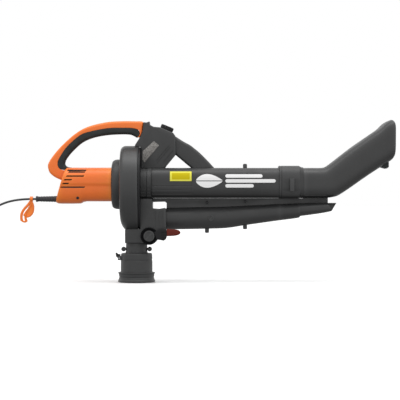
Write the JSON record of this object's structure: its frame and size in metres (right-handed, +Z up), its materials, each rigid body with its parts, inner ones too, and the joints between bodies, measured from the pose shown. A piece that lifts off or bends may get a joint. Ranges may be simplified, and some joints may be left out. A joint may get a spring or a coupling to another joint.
{
  "type": "leaf vacuum mulcher",
  "caption": "Corded leaf vacuum mulcher and blower: round fan housing, looped rear handle, upturned vacuum nozzle over a blower tube, mode selector and bag collar below.",
  "frame": {"origin": "middle of the box that the machine fills, without its lead, on the ground that the bag collar's flange stands on", "axes": "+X towards the nozzle, +Z up, +Y to the user's left; the mode selector is on the -Y side"},
  "size_m": [1.247, 0.3122, 0.4845],
  "materials": {
    "orange_plastic": "satin moulded plastic, fine grain",
    "dark_plastic": "satin moulded plastic, fine grain",
    "black_plastic": "fine textured plastic",
    "soft_grip": "soft ribbed overmould",
    "black_rubber": "dull flexible rubber",
    "bright_steel": "turned steel",
    "laminated_steel": "stacked laminations, varnished",
    "cast_aluminium": "sand cast, deburred",
    "copper": "copper winding and segments",
    "plug_brass": "stamped brass blades",
    "board_green": "coated circuit board",
    "yellow_label": "printed film label",
    "white_print": "white print on film",
    "grey_label": "grey printed film label"
  },
  "bodies": {
    "machine": {"motor_housing_right": "orange_plastic", "motor_housing_left": "orange_plastic", "handle_grip": "soft_grip", "rear_collar": "dark_plastic", "fan_housing_rear": "dark_plastic", "fan_housing_front": "dark_plastic", "inlet_ring": "dark_plastic", "stator": "laminated_steel", "field_coil_upper": "copper", "field_coil_lower": "copper", "brush_holder_right": "copper", "brush_holder_left": "copper", "rear_bearing": "bright_steel", "front_bearing": "bright_steel", "motor_bracket": "dark_plastic", "switch_housing_right": "dark_plastic", "switch_housing_left": "dark_plastic", "switch_module": "black_plastic", "control_board": "board_green", "dial_potentiometer": "board_green", "vacuum_tube_rear": "dark_plastic", "blower_tube_rear": "dark_plastic", "tube_bridge": "dark_plastic", "bridge_screw_rear": "bright_steel", "bridge_screw_front": "bright_steel", "housing_screw": "bright_steel", "front_collar": "dark_plastic", "vacuum_nozzle": "dark_plastic", "blower_nozzle": "dark_plastic", "front_rail": "dark_plastic", "nozzle_skid": "black_rubber", "diverter_housing": "dark_plastic", "bag_neck": "dark_plastic", "strain_relief": "black_rubber", "power_lead": "black_rubber", "plug_body": "black_rubber", "plug_pin_1": "plug_brass", "plug_pin_2": "plug_brass", "warning_label": "yellow_label", "side_badge": "white_print", "rating_label": "grey_label"},
    "rotor": {"motor_shaft": "bright_steel", "commutator": "copper", "armature": "laminated_steel", "cooling_fan": "dark_plastic", "impeller": "cast_aluminium", "impeller_nut": "bright_steel"},
    "rocker": {"rocker": "black_plastic"},
    "dial": {"speed_dial": "black_plastic"},
    "selector": {"selector_knob": "dark_plastic", "selector_lever": "orange_plastic", "diverter_flap": "dark_plastic"},
    "bag_collar": {"bag_collar": "dark_plastic", "latch_pin": "bright_steel"},
    "bag_latch": {"bag_latch": "black_plastic"},
    "release_button": {"release_button": "black_plastic"},
    "cord_hook": {"retainer_hook": "orange_plastic"}
  },
  "joints": [
    {"name": "rotor_spin", "type": "hinge", "parent": "machine", "child": "rotor", "pos_m": [-0.35, 0, 0.293], "axis": [1, 0, 0], "continuous": true},
    {"name": "rocker_tilt", "type": "hinge", "parent": "machine", "child": "rocker", "pos_m": [-0.195, 0, 0.458], "axis": [0, -1, 0], "range_deg": [0, 12]},
    {"name": "dial_turn", "type": "hinge", "parent": "machine", "child": "dial", "pos_m": [-0.1685, 0, 0.4547], "axis": [0.3746, 0, 0.9272], "range_deg": [0, 270]},
    {"name": "selector_turn", "type": "hinge", "parent": "machine", "child": "selector", "pos_m": [-0.218, 0, 0.139], "axis": [0, 1, 0], "range_deg": [0, 80]},
    {"name": "bag_collar_twist", "type": "hinge", "parent": "machine", "child": "bag_collar", "pos_m": [-0.257, 0, 0.05], "axis": [0, 0, 1], "range_deg": [0, 25]},
    {"name": "bag_latch_swing", "type": "hinge", "parent": "bag_collar", "child": "bag_latch", "pos_m": [-0.309, 0, 0.072], "axis": [0, -1, 0], "range_deg": [0, 30], "stiffness_Nm_per_rad": 0.05, "springref_deg": -5.73},
    {"name": "release_press", "type": "slide", "parent": "machine", "child": "release_button", "axis": [0, 1, 0], "range_m": [0, 0.0035], "stiffness_N_per_m": 600, "springref_m": -0.001},
    {"name": "hook_swing", "type": "hinge", "parent": "machine", "child": "cord_hook", "pos_m": [-0.578, 0, 0.2489], "axis": [1, 0, 0], "range_deg": [-60, 60]}
  ]
}
